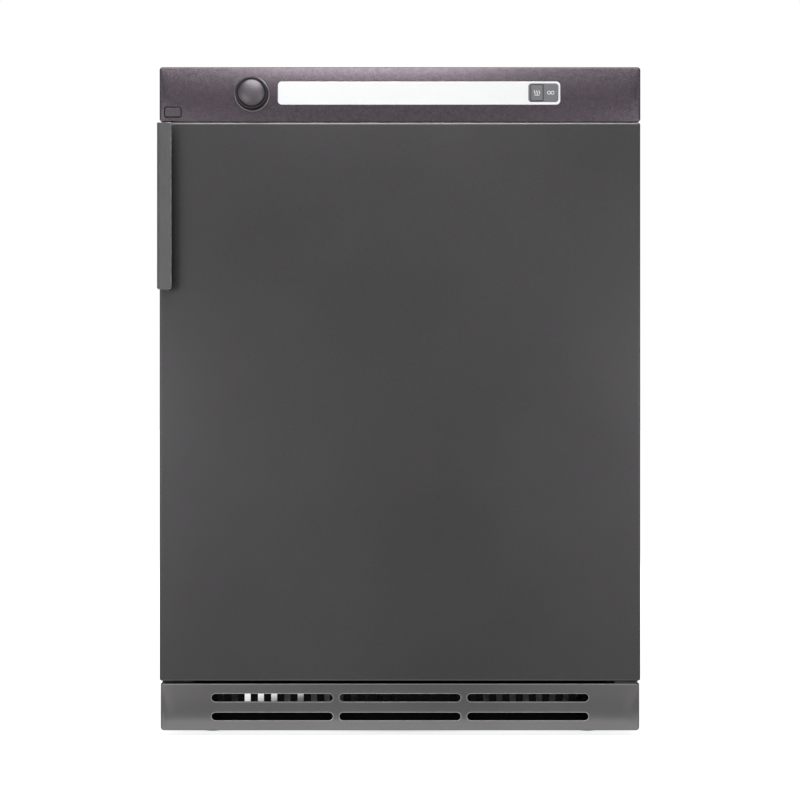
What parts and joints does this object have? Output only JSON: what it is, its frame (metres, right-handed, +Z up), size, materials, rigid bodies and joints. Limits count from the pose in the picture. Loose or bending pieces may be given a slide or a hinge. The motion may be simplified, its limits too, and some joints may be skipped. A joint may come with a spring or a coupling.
{
  "type": "tumble dryer",
  "caption": "Under-counter vented tumble dryer: full-width right-hung door with upright handle, fascia with selector, slotted plinth, turning drum, belt drive.",
  "frame": {"origin": "floor level under the middle of the machine's overall box", "axes": "+Z up; -Y towards the door and the user; +X to the right seen from the front"},
  "size_m": [0.595, 0.655, 0.83],
  "materials": {
    "painted_casing": "satin",
    "handle_paint": "satin",
    "zinc_sheet": "satin",
    "stainless_drum": "brushed",
    "button_metal": "polished",
    "fascia_moulding": "satin metallic",
    "white_window": "gloss",
    "key_grey": "matt",
    "black_plastic": "matt",
    "grey_plastic": "matt",
    "seal_rubber": "matt",
    "felt": "felted",
    "board": "matt",
    "element_steel": "heat-toned"
  },
  "bodies": {
    "root": {"left_side_panel": "painted_casing", "right_side_panel": "painted_casing", "rear_panel": "zinc_sheet", "top_cover": "painted_casing", "base_pan": "zinc_sheet", "front_bulkhead": "painted_casing", "rear_bulkhead": "zinc_sheet", "plinth_grille": "painted_casing", "air_louvre": "black_plastic", "lower_hinge_bracket": "zinc_sheet", "upper_hinge_bracket": "zinc_sheet", "latch_catch": "black_plastic", "control_fascia": "fascia_moulding", "display_window": "white_window", "control_board": "board", "bearing_housing": "zinc_sheet", "rear_felt_seal": "felt", "front_felt_seal": "felt", "roller_bracket_left": "zinc_sheet", "roller_bracket_right": "zinc_sheet", "drive_belt": "seal_rubber", "motor_cradle": "zinc_sheet", "motor_body": "zinc_sheet", "blower_housing": "grey_plastic", "exhaust_duct": "black_plastic", "filter_duct": "grey_plastic", "heater_frame": "zinc_sheet", "heater_element": "element_steel"},
    "door": {"door_outer_panel": "painted_casing", "door_inner_liner": "grey_plastic", "door_seal": "seal_rubber", "door_handle": "handle_paint", "latch_hook": "black_plastic", "lower_hinge_bush": "grey_plastic", "upper_hinge_bush": "grey_plastic"},
    "selector_knob": {"selector_knob": "black_plastic"},
    "start_button": {"start_button": "button_metal"},
    "key_left": {"key_left": "key_grey"},
    "key_right": {"key_right": "key_grey"},
    "power_switch": {"power_switch": "black_plastic"},
    "drum": {"drum_shell": "stainless_drum", "drum_back": "stainless_drum", "drum_lifter_1": "grey_plastic", "drum_lifter_2": "grey_plastic", "drum_lifter_3": "grey_plastic", "drum_shaft": "zinc_sheet"},
    "rotor": {"rotor_shaft": "zinc_sheet", "blower_wheel": "grey_plastic"},
    "support_roller_left": {"support_roller_left": "grey_plastic"},
    "support_roller_right": {"support_roller_right": "grey_plastic"},
    "idler_arm": {"idler_arm": "zinc_sheet"},
    "idler_pulley": {"idler_pulley": "grey_plastic"},
    "lint_filter": {"lint_filter": "grey_plastic"},
    "front_left_foot": {"front_left_foot": "black_plastic"},
    "front_right_foot": {"front_right_foot": "black_plastic"},
    "rear_left_foot": {"rear_left_foot": "black_plastic"},
    "rear_right_foot": {"rear_right_foot": "black_plastic"}
  },
  "joints": [
    {"name": "door_hinge", "type": "hinge", "parent": "root", "child": "door", "pos_m": [0.29, -0.2765, 0.416], "axis": [0, 0, 1], "range_deg": [0, 150]},
    {"name": "selector_turn", "type": "hinge", "parent": "root", "child": "selector_knob", "pos_m": [-0.1828, -0.2925, 0.7961], "axis": [0, -1, 0], "continuous": true},
    {"name": "start_press", "type": "slide", "parent": "selector_knob", "child": "start_button", "axis": [0, 1, 0], "range_m": [0, 0.002], "stiffness_N_per_m": 900, "springref_m": -0.002},
    {"name": "key_left_press", "type": "slide", "parent": "root", "child": "key_left", "axis": [0, 1, 0], "range_m": [0, 0.001], "stiffness_N_per_m": 800, "springref_m": -0.001},
    {"name": "key_right_press", "type": "slide", "parent": "root", "child": "key_right", "axis": [0, 1, 0], "range_m": [0, 0.001], "stiffness_N_per_m": 800, "springref_m": -0.001},
    {"name": "power_press", "type": "slide", "parent": "root", "child": "power_switch", "axis": [0, 1, 0], "range_m": [0, 0.0015], "stiffness_N_per_m": 800, "springref_m": -0.001},
    {"name": "drum_spin", "type": "hinge", "parent": "root", "child": "drum", "pos_m": [0, 0.0075, 0.447], "axis": [0, 1, 0], "continuous": true},
    {"name": "rotor_spin", "type": "hinge", "parent": "root", "child": "rotor", "pos_m": [0.185, -0.0425, 0.118], "axis": [0, 1, 0], "continuous": true},
    {"name": "left_roller_spin", "type": "hinge", "parent": "root", "child": "support_roller_left", "pos_m": [-0.15896, -0.2025, 0.25756], "axis": [0, 1, 0], "continuous": true},
    {"name": "right_roller_spin", "type": "hinge", "parent": "root", "child": "support_roller_right", "pos_m": [0.15896, -0.2025, 0.25756], "axis": [0, 1, 0], "continuous": true},
    {"name": "idler_swing", "type": "hinge", "parent": "root", "child": "idler_arm", "pos_m": [0.25, 0.046, 0.132], "axis": [0, 1, 0], "range_deg": [0, 8], "stiffness_Nm_per_rad": 4, "springref_deg": -11.46},
    {"name": "idler_spin", "type": "hinge", "parent": "idler_arm", "child": "idler_pulley", "pos_m": [0.23714, 0.0355, 0.216], "axis": [0, 1, 0], "continuous": true},
    {"name": "filter_lift", "type": "slide", "parent": "root", "child": "lint_filter", "axis": [0, 0, 1], "range_m": [0, 0.085]},
    {"name": "front_left_foot_screw", "type": "slide", "parent": "root", "child": "front_left_foot", "axis": [0, 0, -1], "range_m": [0, 0.02]},
    {"name": "front_right_foot_screw", "type": "slide", "parent": "root", "child": "front_right_foot", "axis": [0, 0, -1], "range_m": [0, 0.02]},
    {"name": "rear_left_foot_screw", "type": "slide", "parent": "root", "child": "rear_left_foot", "axis": [0, 0, -1], "range_m": [0, 0.02]},
    {"name": "rear_right_foot_screw", "type": "slide", "parent": "root", "child": "rear_right_foot", "axis": [0, 0, -1], "range_m": [0, 0.02]}
  ],
  "couplings": [
    {"joint": "rotor_spin", "follows": "drum_spin", "ratio": 28},
    {"joint": "left_roller_spin", "follows": "drum_spin", "ratio": -10.227},
    {"joint": "right_roller_spin", "follows": "drum_spin", "ratio": -10.227},
    {"joint": "idler_spin", "follows": "drum_spin", "ratio": -17.5}
  ]
}
